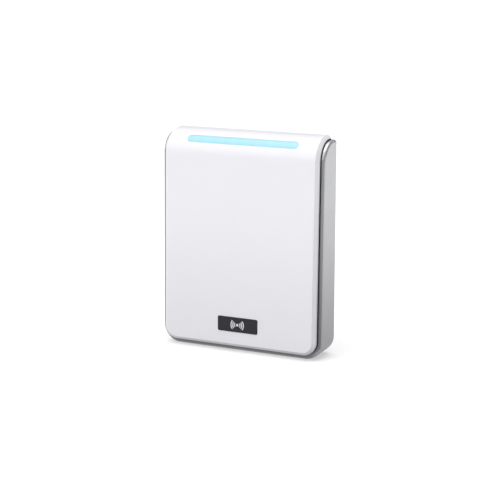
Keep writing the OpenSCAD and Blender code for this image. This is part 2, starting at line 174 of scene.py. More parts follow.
class Bench:
    """One material's node tree, and what the finishes add to it."""

    def __init__(self, name: str) -> None:
        """Starts an empty material.

        Args:
            name: Material name.
        """
        self.material = bpy.data.materials.new(name)
        self.material.use_nodes = True
        self.tree = self.material.node_tree
        self.tree.nodes.clear()

    def _place(self, kind: str, settings: dict | None, sockets: dict | None) -> bpy.types.Node:
        """Adds a node, sets it up and then fills or links its sockets.

        Args:
            kind: Node type.
            settings: Its properties, set first.
            sockets: Values or wires for its inputs, by name or number.

        Returns:
            The node.
        """
        node = self.tree.nodes.new(kind)
        for key, value in (settings or {}).items():
            setattr(node, key, value)
        for key, value in (sockets or {}).items():
            if isinstance(value, Wire):
                self.tree.links.new(value.socket, node.inputs[key])
            else:
                node.inputs[key].default_value = value
        return node

    def add(
        self,
        kind: str,
        settings: dict | None = None,
        sockets: dict | None = None,
        out: int | str = 0,
    ) -> Wire:
        """A new node's output.

        Args:
            kind: Node type.
            settings: Its properties, set first.
            sockets: Values or wires for its inputs.
            out: Which output is wanted.

        Returns:
            That output.
        """
        return Wire(self, self._place(kind, settings, sockets).outputs[out])

    def place(self) -> Wire:
        """Place on the object, in metres."""
        return self.add("ShaderNodeTexCoord", out="Object")

    def axis(self, letter: str) -> Wire:
        """One coordinate of the place on the object, in metres."""
        return self.add("ShaderNodeSeparateXYZ", {}, {0: self.place()}, letter)

    def grain(self, size: float, stretch: Triple = (1, 1, 1), detail: float = 2.0) -> Wire:
        """Noise from 0 to 1.

        Args:
            size: Size of its features, in metres.
            stretch: How many times shorter than that they are along each axis.
            detail: Number of finer layers.

        Returns:
            The noise.
        """
        scale = tuple(part / size for part in stretch)
        spread = self.add("ShaderNodeMapping", {}, {"Vector": self.place(), "Scale": scale})
        return self.add("ShaderNodeTexNoise", {}, {"Vector": spread, "Scale": 1.0, "Detail": detail})

    def cells(self, size: float) -> Wire:
        """Distance to scattered points about the size apart, as a share of it."""
        sockets = {"Vector": self.place(), "Scale": 1.0 / size}
        return self.add("ShaderNodeTexVoronoi", {"feature": "F1"}, sockets, "Distance")

    def blend(self, share: Wire | float, first: Wire | Colour, second: Wire | Colour) -> Wire:
        """Two colours mixed by a share from 0 to 1.

        Args:
            share: How much of the second colour.
            first: Colour at 0.
            second: Colour at 1.

        Returns:
            The mixed colour.
        """
        ends = [c if isinstance(c, Wire) else (*c, 1.0) for c in (first, second)]
        sockets = {0: share, 6: ends[0], 7: ends[1]}
        return self.add("ShaderNodeMix", {"data_type": "RGBA"}, sockets, 2)

    def foot(self) -> Wire:
        """How near a place is to the foot, 1 at the bottom edge and 0 near the top: the mask for painted
        shade.
        """
        return self.axis("Z").ramp(-HALF_HEIGHT, 35 * MM, 1.0, 0.0)

    def sill(self) -> Wire:
        """How near a place is to the cover's lower edge, 1 along it and fading to 0 within 9 mm above: the
        mask for painted shade there.
        """
        return self.axis("Z").ramp(-57 * MM, -49 * MM, 1.0, 0.0)

    def bump(self, height: Wire, depth: float) -> Wire:
        """Surface relief, depth metres from a height of 0 to 1."""
        return self.add("ShaderNodeBump", {}, {"Strength": 1.0, "Distance": depth, "Height": height})

    def close(self, sockets: dict) -> bpy.types.Material:
        """Joins a Principled shader with these sockets to the output.

        Args:
            sockets: Values or wires for the shader.

        Returns:
            The finished material.
        """
        shader = self.add("ShaderNodeBsdfPrincipled", {}, sockets)
        self._place("ShaderNodeOutputMaterial", {}, {"Surface": shader})
        return self.material


def tint(colour: Colour, factor: float) -> Colour:
    """A colour made lighter or darker."""
    return tuple(min(1.0, part * factor) for part in colour)


# ---- Finishes ----


class Finish:
    """What every finish can do: make its material."""

    def make(self, name: str) -> bpy.types.Material:
        """A new material under the name given."""
        raise NotImplementedError


@dataclass(frozen=True)
class Moulding(Finish):
    """Moulded plastic with a fine grain, faint flow shading and handling marks.

    painted_foot_shade darkens it towards the foot and painted_sill_shade along the cover's lower edge,
    both as painted shade.
    """

    colour: Colour
    roughness: float
    grain_size: float = 0.35 * MM
    grain_depth: float = 0.004 * MM
    variation: float = 0.04
    coat: float = 0.0
    painted_foot_shade: float = 0.0
    painted_sill_shade: float = 0.0
    ior: float = 1.5

    def make(self, name: str) -> bpy.types.Material:
        """Grain in the relief, broad flow shading in the colour and marks in the gloss.

        Args:
            name: Material name.

        Returns:
            The material.
        """
        bench = Bench(name)
        flow = bench.grain(22 * MM, detail=1.0)
        fine = bench.grain(self.grain_size)
        marks = bench.grain(3 * MM, (1, 1, 0.3), 4.0).ramp(0.5, 0.78)
        colour = bench.blend(
            flow * 0.7 + fine * 0.3,
            tint(self.colour, 1 - self.variation),
            tint(self.colour, 1 + self.variation),
        )
        # Painted shade: darker towards the foot.
        if self.painted_foot_shade > 0:
            colour = bench.blend(bench.foot() * self.painted_foot_shade, colour, tint(self.colour, 0.5))
        # Painted shade along the cover's lower edge.
        if self.painted_sill_shade > 0:
            colour = bench.blend(bench.sill() * self.painted_sill_shade, colour, tint(self.colour, 0.3))
        sockets = {
            "Base Color": colour,
            "Roughness": self.roughness * 0.92 + fine * (self.roughness * 0.16) + marks * 0.05,
            "Normal": bench.bump(fine, self.grain_depth),
            "Coat Weight": self.coat,
            "Coat Roughness": 0.18,
            "IOR": self.ior,
        }
        return bench.close(sockets)


@dataclass(frozen=True)
class SatinMetal(Finish):
    """Metal with a fine drawn grain and small scratches."""

    colour: Colour
    roughness: float
    along: Triple = (1.0, 1.0, 0.06)
    grain_size: float = 0.25 * MM
    grain_depth: float = 0.004 * MM
    metallic: float = 1.0
    painted_foot_shade: float = 0.0

    def make(self, name: str) -> bpy.types.Material:
        """Drawn grain in colour, gloss and relief, with sparse scratches along it.

        Args:
            name: Material name.

        Returns:
            The material.
        """
        bench = Bench(name)
        drawn = bench.grain(self.grain_size, self.along, 3.0)
        cloud = bench.grain(14 * MM, detail=2.0)
        scratch = bench.grain(0.5 * MM, (1, 3, 0.08), 1.0).ramp(0.7, 0.76)
        shade = drawn * 0.5 + cloud * 0.5
        colour = bench.blend(shade, tint(self.colour, 0.86), tint(self.colour, 1.14))
        # Painted shade and painted dark reflection: darker towards the foot.
        if self.painted_foot_shade > 0:
            colour = bench.blend(bench.foot() * self.painted_foot_shade, colour, tint(self.colour, 0.5))
        sockets = {
            "Base Color": colour,
            "Metallic": self.metallic,
            "Roughness": self.roughness - 0.07 + drawn * 0.1 + cloud * 0.06 - scratch * 0.05,
            "Normal": bench.bump(drawn + scratch * 0.4, self.grain_depth),
        }
        return bench.close(sockets)


@dataclass(frozen=True)
class ZincPlate(Finish):
    """Zinc-plated sheet with soft grey clouds, rolling lines and white bloom in places."""

    colour: Colour = (0.60, 0.61, 0.61)
    roughness: float = 0.36

    def make(self, name: str) -> bpy.types.Material:
        """Clouded plating over rolling lines.

        Args:
            name: Material name.

        Returns:
            The material.
        """
        bench = Bench(name)
        flakes = bench.cells(1.6 * MM).ramp(0.1, 0.9)
        rolled = bench.grain(0.4 * MM, (0.08, 1, 1), 3.0)
        bloom = bench.grain(9 * MM, detail=4.0).ramp(0.5, 0.75)
        colour = bench.blend(flakes * 0.4 + rolled * 0.3, tint(self.colour, 0.86), tint(self.colour, 1.12))
        dusted = bench.blend(bloom * 0.35, colour, (0.66, 0.67, 0.66))
        sockets = {
            "Base Color": dusted,
            "Metallic": 1.0 - bloom * 0.25,
            "Roughness": self.roughness + bloom * 0.16 + flakes * 0.06,
            "Normal": bench.bump(rolled * 0.6 + flakes * 0.4, 0.006 * MM),
        }
        return bench.close(sockets)


@dataclass(frozen=True)
class SoftRubber(Finish):
    """Black rubber or foam with a dusty bloom and small pores."""

    colour: Colour = (0.011, 0.011, 0.012)
    pore: float = 0.3 * MM
    depth: float = 0.02 * MM

    def make(self, name: str) -> bpy.types.Material:
        """Pores in the relief and dust in the colour.

        Args:
            name: Material name.

        Returns:
            The material.
        """
        bench = Bench(name)
        pores = bench.cells(self.pore).ramp(0.05, 0.5)
        dust = bench.grain(4 * MM, detail=4.0).ramp(0.45, 0.8)
        colour = bench.blend(dust * 0.3 + pores * 0.1, self.colour, (0.05, 0.05, 0.049))
        sockets = {
            "Base Color": colour,
            "Roughness": 0.72 + dust * 0.15,
            "Specular IOR Level": 0.25,
            "Normal": bench.bump(pores, self.depth),
        }
        return bench.close(sockets)


@dataclass(frozen=True)
class LitDiffuser(Finish):
    """A milky diffuser lit from behind, a little brighter over each lamp and paler along its middle."""

    glow: Colour
    core: Colour
    strength: float
    lamps: int
    pitch: float
    middle_height: float
    half_height: float

    def make(self, name: str) -> bpy.types.Material:
        """Glow that swells over the lamps and pales towards the middle line.

        Args:
            name: Material name.

        Returns:
            The material.
        """
        bench = Bench(name)
        swell = (bench.axis("X") * (2 * math.pi / self.pitch) + math.pi * self.lamps).wave()
        centred = ((bench.axis("Z") - self.middle_height) / self.half_height).size()
        fibre = bench.grain(0.6 * MM)
        milk = bench.grain(7 * MM, detail=2.0)
        pale = centred.ramp(0.15, 1.1, 1.0, 0.0) * 0.75 + swell * 0.1 + milk * 0.15
        sockets = {
            "Base Color": bench.blend(fibre, tint(self.glow, 0.28), tint(self.glow, 0.36)),
            "Roughness": 0.28 + fibre * 0.1,
            "Emission Color": bench.blend(pale, self.glow, self.core),
            "Emission Strength": self.strength,
            "Normal": bench.bump(fibre, 0.003 * MM),
        }
        return bench.close(sockets)


@dataclass(frozen=True)
class ClearMoulding(Finish):
    """Clear resin or acrylic with faint swirls."""

    colour: Colour = (0.78, 0.95, 0.98)

    def make(self, name: str) -> bpy.types.Material:
        """Transmission with a swirled gloss.

        Args:
            name: Material name.

        Returns:
            The material.
        """
        bench = Bench(name)
        swirl = bench.grain(2 * MM, detail=3.0)
        sockets = {
            "Base Color": bench.blend(swirl, tint(self.colour, 0.92), self.colour),
            "Roughness": 0.06 + swirl * 0.12,
            "Transmission Weight": 0.85,
            "IOR": 1.49,
            "Normal": bench.bump(swirl, 0.01 * MM),
        }
        return bench.close(sockets)


@dataclass(frozen=True)
class CircuitBoard(Finish):
    """Green solder mask over raised tracks, with plated holes at a regular pitch."""

    mask: Colour = (0.012, 0.12, 0.045)
    track: Colour = (0.03, 0.24, 0.09)
    metal: Colour = (0.72, 0.55, 0.26)
    pitch: float = 2.54 * MM

    def make(self, name: str) -> bpy.types.Material:
        """Tracks and plated holes laid out on the board's own face.

        Args:
            name: Material name.

        Returns:
            The material.
        """
        bench = Bench(name)
        across = (bench.axis("X") / self.pitch).fraction() - 0.5
        up = (bench.axis("Z") / self.pitch).fraction() - 0.5
        from_middle = across * across + up * up
        pads = bench.grain(11 * MM, detail=0.0).above(0.6) * from_middle.ramp(0.02, 0.03, 1.0, 0.0)
        lanes = (bench.axis("X") * (2 * math.pi / (1.27 * MM)) + bench.grain(6 * MM) * 9).wave()
        tracks = lanes.ramp(0.35, 0.55) * bench.grain(9 * MM, detail=0.0).ramp(0.44, 0.5)
        weave = bench.grain(0.3 * MM)
        green = bench.blend(tracks * 0.8 + weave * 0.2, self.mask, self.track)
        sockets = {
            "Base Color": bench.blend(pads, green, self.metal),
            "Metallic": pads,
            "Roughness": 0.3 + weave * 0.12,
            "Normal": bench.bump(tracks * 0.8 + pads + weave * 0.1, 0.03 * MM),
            "Coat Weight": 0.3,
            "Coat Roughness": 0.12,
        }
        return bench.close(sockets)


@dataclass(frozen=True)
class WoundCopper(Finish):
    """Copper, wound or etched, whose lines show in colour and relief."""

    colour: Colour
    line: float
    dull: float = 0.3

    def make(self, name: str) -> bpy.types.Material:
        """Fine lines through the thickness, and tarnish in patches.

        Args:
            name: Material name.

        Returns:
            The material.
        """
        bench = Bench(name)
        lines = (bench.axis("Y") * (2 * math.pi / self.line)).wave().size()
        tarnish = bench.grain(5 * MM, detail=4.0).ramp(0.42, 0.75)
        bright = bench.blend(lines, tint(self.colour, 0.7), self.colour)
        sockets = {
            "Base Color": bench.blend(tarnish * 0.5, bright, tint(self.colour, 0.45)),
            "Metallic": 0.95,
            "Roughness": self.dull + tarnish * 0.2,
            "Normal": bench.bump(lines, 0.02 * MM),
        }
        return bench.close(sockets)


LAMP_PITCH = 7.5 * MM
FINISHES: dict[str, Finish] = {
    "plate_steel": ZincPlate(),
    # Painted shade and dark reflection towards the housing's foot.
    "housing_metal": SatinMetal(
        (0.515, 0.515, 0.528), 0.42, (1.0, 1.0, 0.15), 0.7 * MM, 0.01 * MM, painted_foot_shade=0.82
    ),
    "shell_plastic": Moulding((0.022, 0.022, 0.024), 0.55, 0.45 * MM, 0.02 * MM, 0.15),
    # Painted shade towards the cover's foot.
    "cover_white": Moulding(
        (0.722, 0.714, 0.748), 0.32, 0.5 * MM, 0.002 * MM, 0.012, coat=0.25, painted_foot_shade=0.29
    ),
    "seal_rubber": SoftRubber(),
    "bar_light": LitDiffuser(
        glow=(0.28, 0.62, 0.72),
        core=(0.43, 0.69, 0.75),
        strength=0.79,
        lamps=8,
        pitch=LAMP_PITCH,
        middle_height=56.3 * MM,
        half_height=1.8 * MM,
    ),
    "guide_clear": ClearMoulding(),
    "board": CircuitBoard(),
    "lamp": ClearMoulding((0.95, 0.90, 0.62)),
    "ribbon": Moulding((0.60, 0.40, 0.14), 0.35, 0.6 * MM, 0.01 * MM, 0.1),
    "part_ivory": Moulding((0.70, 0.66, 0.54), 0.45, 0.4 * MM, 0.006 * MM, 0.05),
    "badge_dark": Moulding((0.014, 0.0135, 0.017), 0.42, 0.25 * MM, 0.003 * MM, 0.12, ior=1.33),
    "badge_mark": Moulding((0.56, 0.56, 0.60), 0.38, 0.3 * MM, 0.003 * MM, 0.06),
    "aerial_copper": WoundCopper((0.80, 0.52, 0.22), 0.6 * MM, 0.25),
    "coil_copper": WoundCopper((0.62, 0.25, 0.09), 0.22 * MM, 0.35),
    "ferrite": Moulding((0.035, 0.035, 0.038), 0.5, 0.7 * MM, 0.03 * MM, 0.3),
    "chip_black": Moulding((0.016, 0.016, 0.017), 0.5, 0.2 * MM, 0.01 * MM, 0.25),
    "shield_tin": SatinMetal((0.66, 0.66, 0.64), 0.3, (1.0, 1.0, 1.0), 0.6 * MM),
    "capacitor_can": SatinMetal((0.50, 0.52, 0.56), 0.34, (1.0, 0.1, 1.0)),
    "terminal_green": Moulding((0.018, 0.20, 0.06), 0.36, 0.4 * MM, 0.008 * MM, 0.1),
    "brass_parts": SatinMetal((0.72, 0.52, 0.20), 0.3, (1.0, 1.0, 1.0)),
    "screw_steel": SatinMetal((0.60, 0.60, 0.61), 0.3, (1.0, 1.0, 1.0)),
}
# Painted shade for the cover's chamfer: a darker, uncoated copy of the cover's white, darker still towards
# the foot and the lower edge.
RIM_PAINTED_SHADE = replace(
    FINISHES["cover_white"], colour=(0.695, 0.687, 0.722), coat=0.0, painted_foot_shade=0.24, painted_sill_shade=0.5
)
# Painted shade and painted dark reflection for the front-facing shoulder beside the cover: a darker copy
# of the housing metal.
SHOULDER_PAINTED_SHADE = SatinMetal(
    (0.295, 0.295, 0.308), 0.46, (1.0, 1.0, 0.15), 0.7 * MM, 0.01 * MM, painted_foot_shade=0.85
)


@dataclass
class Paints:
    """The materials made so far, one for each finish."""

    made: dict[str, bpy.types.Material] = field(default_factory=dict)

    def get(self, slot: str, finish: Finish | None = None) -> bpy.types.Material:
        """The material for a slot, made on first use.

        Args:
            slot: Material slot, or a name of its own for a second finish.
            finish: Its finish, where that isn't the slot's.

        Returns:
            The material.
        """
        if slot not in self.made:
            self.made[slot] = (finish or FINISHES[slot]).make(slot + "_finish")
        return self.made[slot]


# ---- Mesh helpers ----


@dataclass(frozen=True)
class Label:
    """What a piece is called, what it rides on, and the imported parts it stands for."""

    name: str
    body: Body
    nodes: tuple[str, ...]
    slot: str


def round_edges(
    bm: bmesh.types.BMesh,
    wanted: Callable[[bmesh.types.BMEdge], bool],
    width: float,
    segments: int,
) -> None:
    """Rounds the edges that a test picks.

    Args:
        bm: Mesh to change.
        wanted: Says whether an edge is rounded.
        width: How far the rounding reaches from the edge, in metres.
        segments: Number of strips.
    """
    picked = [e for e in bm.edges if len(e.link_faces) == 2 and wanted(e)]
    bmesh.ops.bevel(
        bm,
        geom=picked,
        offset=width,
        offset_type="OFFSET",
        segments=segments,
        profile=0.5,
        affect="EDGES",
        clamp_overlap=True,
        material=-1,
    )


def sharp(degrees: float) -> Callable[[bmesh.types.BMEdge], bool]:
    """A test for edges that turn more than the angle given."""
    limit = math.radians(degrees)
    return lambda e: e.calc_face_angle(0.0) > limit


def bottom_corners(low: float) -> Callable[[bmesh.types.BMEdge], bool]:
    """A test for the edges that run from front to back along a form's bottom.

    Args:
        low: Height of the bottom, in metres.

    Returns:
        The test.
    """

    def wanted(edge: bmesh.types.BMEdge) -> bool:
        """Whether both ends are on the bottom and in line."""
        first, last = (v.co for v in edge.verts)
        return max(abs(first.z - low), abs(last.z - low), abs(first.x - last.x)) < SAME

    return wanted


def box_form(low: Sequence[float], high: Sequence[float]) -> bmesh.types.BMesh:
    """A box.

    Args:
        low: Its lowest corner, in metres.
        high: Its highest corner.

    Returns:
        The closed form.
    """
    bm = bmesh.new()
    centre = [(a + b) / 2 for a, b in zip(low, high)]
    size = [b - a for a, b in zip(low, high)]
    bmesh.ops.create_cube(bm, size=1.0, matrix=Matrix.Translation(centre) @ Matrix.Diagonal((*size, 1)))
    return bm


def slab_form(width: float, height: float, corner: float, low: float, high: float) -> bmesh.types.BMesh:
    """A plate with round corners, lying across the local Z axis.

    Args:
        width: Size along X.
        height: Size along Y.
        corner: Corner radius, at most half the height.
        low: Underside on Z.
        high: Top on Z.

    Returns:
        The closed form.
    """
    bm = box_form((-width / 2, -height / 2, low), (width / 2, height / 2, high))
    reach = min(corner, height / 2 * 0.9995)
    round_edges(bm, lambda e: abs((e.verts[0].co - e.verts[1].co).z) > SAME, reach, 14)
    return bm


def rod_form(
    radius: float, start: Sequence[float], end: Sequence[float], sides: int = 48
) -> bmesh.types.BMesh:
    """A cylinder, or a prism where it has few sides.

    Args:
        radius: Its radius, in metres.
        start: Middle of one end.
        end: Middle of the other end.
        sides: Number of sides.

    Returns:
        The closed form.
    """
    first, last = Vector(start), Vector(end)
    run = last - first
    turn = run.to_track_quat("Z", "Y").to_matrix().to_4x4()
    bm = bmesh.new()
    bmesh.ops.create_cone(
        bm,
        cap_ends=True,
        segments=sides,
        radius1=radius,
        radius2=radius,
        depth=run.length,
        matrix=Matrix.Translation((first + last) / 2) @ turn,
    )
    return bm


def carve(
    bm: bmesh.types.BMesh, tools: Iterable[bmesh.types.BMesh], how: Cut = Cut.AWAY
) -> bmesh.types.BMesh:
    """Works a closed form with others, one after another.

    Args:
        bm: Form to work on, used up.
        tools: Forms to work it with, used up.
        how: Whether they are cut away, kept in common or joined on.

    Returns:
        The worked form.
    """
    for tool in tools:
        objects = []
        for part in (bm, tool):
            mesh = bpy.data.meshes.new("blank")
            bmesh.ops.recalc_face_normals(part, faces=part.faces)
            part.to_mesh(mesh)
            part.free()
            objects.append(bpy.data.objects.new("blank", mesh))
            bpy.context.scene.collection.objects.link(objects[-1])
        modifier = objects[0].modifiers.new("cut", "BOOLEAN")
        modifier.operation = how.value
        modifier.solver = "EXACT"
        modifier.object = objects[1]
        result = objects[0].evaluated_get(bpy.context.evaluated_depsgraph_get()).to_mesh()
        bm = bmesh.new()
        bm.from_mesh(result)
        meshes = [o.data for o in objects]
        for o in objects:
            bpy.data.objects.remove(o)
        for mesh in meshes:
            bpy.data.meshes.remove(mesh)
        bmesh.ops.remove_doubles(bm, verts=bm.verts, dist=1e-7)
    return bm


def gather(forms: Iterable[bmesh.types.BMesh]) -> bmesh.types.BMesh:
    """Several forms as loose parts of one mesh.

    Args:
        forms: The forms, used up.

    Returns:
        The one form.
    """
    whole = bmesh.new()
    for form in forms:
        mesh = bpy.data.meshes.new("part")
        form.to_mesh(mesh)
        form.free()
        whole.from_mesh(mesh)
        bpy.data.meshes.remove(mesh)
    return whole


def soft_normals(mesh: bpy.types.Mesh, degrees: float) -> None:
    """Sets corner normals weighted by face area, kept apart across sharp edges.

    Args:
        mesh: Mesh to shade.
        degrees: Turn above which an edge stays sharp.
    """
    limit = math.cos(math.radians(degrees))
    around: list[list[int]] = [[] for _ in mesh.vertices]
    for polygon in mesh.polygons:
        polygon.use_smooth = True
        for vertex in polygon.vertices:
            around[vertex].append(polygon.index)
    faces = [(p.normal.copy(), p.area) for p in mesh.polygons]
    normals = [Vector((0, 0, 1))] * len(mesh.loops)
    for polygon in mesh.polygons:
        own = faces[polygon.index][0]
        for corner in polygon.loop_indices:
            total = Vector((0, 0, 0))
            for index in around[mesh.loops[corner].vertex_index]:
                normal, area = faces[index]
                if normal.dot(own) > limit:
                    total += normal * area
            normals[corner] = total.normalized() if total.length > 0 else own
    mesh.normals_split_custom_set(normals)


def publish(
    bm: bmesh.types.BMesh,
    label: Label,
    materials: Sequence[bpy.types.Material],
    degrees: float = 35.0,
) -> bpy.types.Object:
    """Makes a finished form a piece that rides on its body.

    Args:
        bm: The form, used up.
        label: Its name, body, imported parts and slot.
        materials: Its finishes, in the order of its faces' numbers.
        degrees: Turn above which an edge is shaded sharp.

    Returns:
        The piece.
    """
    bmesh.ops.remove_doubles(bm, verts=bm.verts, dist=2e-7)
    bmesh.ops.dissolve_degenerate(bm, dist=1e-7, edges=bm.edges)
    bmesh.ops.recalc_face_normals(bm, faces=bm.faces)
    mesh = bpy.data.meshes.new(label.name)
    bm.to_mesh(mesh)
    bm.free()
    for material in materials:
        mesh.materials.append(material)
    soft_normals(mesh, degrees)
    piece = bpy.data.objects.new(label.name, mesh)
    bpy.context.scene.collection.objects.link(piece)
    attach(piece, label.body.value)
    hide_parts(*label.nodes)
    LOG.info("%s: %d faces on %s", label.name, len(mesh.polygons), label.body.value)
    return piece


# ---- Forms that the cover and the housing share ----


@dataclass(frozen=True)
class Wrap:
    """A sloping front that curves back over the top, with two round bottom corners.

    edge rounds the front's outline and chamfer cuts it off straight, each where it isn't zero.
    """

    top_depth: float
    low_depth: float
    top: float
    low: float
    half_width: float
    curve: float
    corner: float
    rear: float = 0.0
    edge: float = 0.0
    chamfer: float = 0.0

    def depth_at(self, height: float) -> float:
        """Depth of the front at a height, both in metres."""
        share = (HALF_HEIGHT - height) / (2 * HALF_HEIGHT)
        return self.top_depth + (self.low_depth - self.top_depth) * share

    def tilt(self) -> float:
        """Lean of the front, in radians."""
        return math.atan((self.low_depth - self.top_depth) / (2 * HALF_HEIGHT))

    def shrunk(self, by: float, sides: float, rear: float) -> "Wrap":
        """The same form set inwards, with plain edges.

        Args:
            by: How far at the front and the top.
            sides: How far at the sides and the bottom.
            rear: Its new rear on Y.

        Returns:
            The smaller wrap.
        """
        return replace(
            self,
            top_depth=self.top_depth - by,
            low_depth=self.low_depth - by,
            top=self.top - by,
            low=self.low + sides,
            half_width=self.half_width - sides,
            curve=self.curve - by,
            corner=self.corner - sides,
            rear=rear,
            edge=0.0,
            chamfer=0.0,
        )

    def form(self) -> bmesh.types.BMesh:
        """A prism whose top front edge, bottom corners and outline are then worked.

        Returns:
            The closed form.
        """
        bm = bmesh.new()
        side = [
            (self.rear, self.low),
            (-self.depth_at(self.low), self.low),
            (-self.depth_at(self.top), self.top),
            (self.rear, self.top),
        ]
        start = bm.faces.new([bm.verts.new((-self.half_width, y, z)) for y, z in side])
        grown = bmesh.ops.extrude_face_region(bm, geom=[start])["geom"]
        moved = [v for v in grown if isinstance(v, bmesh.types.BMVert)]
        bmesh.ops.translate(bm, verts=moved, vec=(2 * self.half_width, 0, 0))
        bmesh.ops.recalc_face_normals(bm, faces=bm.faces)
        reach = self.curve * math.tan((math.pi / 2 - self.tilt()) / 2)
        round_edges(bm, self._is_top_front, reach, CURVE_STRIPS)
        if self.corner > 0:
            round_edges(bm, bottom_corners(self.low), self.corner, CORNER_STRIPS)
        if self.edge > 0:
            round_edges(bm, self._is_rim, self.edge, OUTLINE_STRIPS)
        if self.chamfer > 0:
            round_edges(bm, self._is_rim, self.chamfer, 1)
            round_edges(bm, self._borders_chamfer, CHAMFER_EASE, 2)
        return bm

    def _is_top_front(self, edge: bmesh.types.BMEdge) -> bool:
        """Whether an edge is the one that the curve over the top replaces."""
        depth = self.depth_at(self.top)
        return all(abs(v.co.y + depth) < SAME and abs(v.co.z - self.top) < SAME for v in edge.verts)

    @staticmethod
    def _is_rim(edge: bmesh.types.BMEdge) -> bool:
        """Whether an edge parts the front or top skin from the side walls.

        Args:
            edge: An edge with two faces.

        Returns:
            Whether it is on the outline.
        """
        skins = [f.normal.y < -1e-3 or f.normal.z > 0.9 for f in edge.link_faces]
        walls = [abs(f.normal.y) < 1e-4 and f.normal.z < 0.5 for f in edge.link_faces]
        return (skins[0] and walls[1]) or (skins[1] and walls[0])

    @staticmethod
    def _borders_chamfer(edge: bmesh.types.BMEdge) -> bool:
        """Whether an edge turns about as much as the two sides of a chamfer do."""
        return math.radians(30) < edge.calc_face_angle(0.0) < math.radians(62)


COVER = Wrap(
    top_depth=19.6 * MM,
    low_depth=23.2 * MM,
    top=HALF_HEIGHT,
    low=-57.65 * MM,
    half_width=45.9 * MM,
    curve=14 * MM,
    corner=7.2 * MM,
    rear=-1.7 * MM,
    chamfer=1.7 * MM,
)
HOUSING = Wrap(
    top_depth=16.1 * MM,
    low_depth=18.8 * MM,
    top=58.3 * MM,
    low=-HALF_HEIGHT,
    half_width=48.5 * MM,
    curve=11.2 * MM,
    corner=10 * MM,
    rear=-0.8 * MM,
    edge=1.7 * MM,
)


@dataclass(frozen=True)
class Seats:
    """Where the bar sits on the curve and the badge on the face."""

    bar_angle: float = math.radians(43)
    badge_height: float = -44.95 * MM

    def on_curve(self) -> Matrix:
        """Axes at the curve's centre, with local Z out through the bar.

        Returns:
            The matrix from those axes to the object's.
        """
        height = COVER.top - COVER.curve
        depth = COVER.curve / math.cos(COVER.tilt()) - COVER.depth_at(height)
        turn = Matrix.Rotation(math.pi / 2 - self.bar_angle, 4, "X")
        return Matrix.Translation((0, depth, height)) @ turn

    def on_face(self) -> Matrix:
        """Axes on the face at the badge, with local Z out of it."""
        place = (0, -COVER.depth_at(self.badge_height), self.badge_height)
        return Matrix.Translation(place) @ Matrix.Rotation(math.pi / 2 - COVER.tilt(), 4, "X")


SEATS = Seats()


def placed(bm: bmesh.types.BMesh, where: Matrix) -> bmesh.types.BMesh:
    """A form moved by a matrix."""
    bmesh.ops.transform(bm, matrix=where, verts=bm.verts)
    return bm


# ---- Front cover ----


# Where the cover's screws are, across and up
BOSS_PLACES = tuple((x, z) for z in (-49 * MM, 46 * MM) for x in (-37.5 * MM, 37.5 * MM))


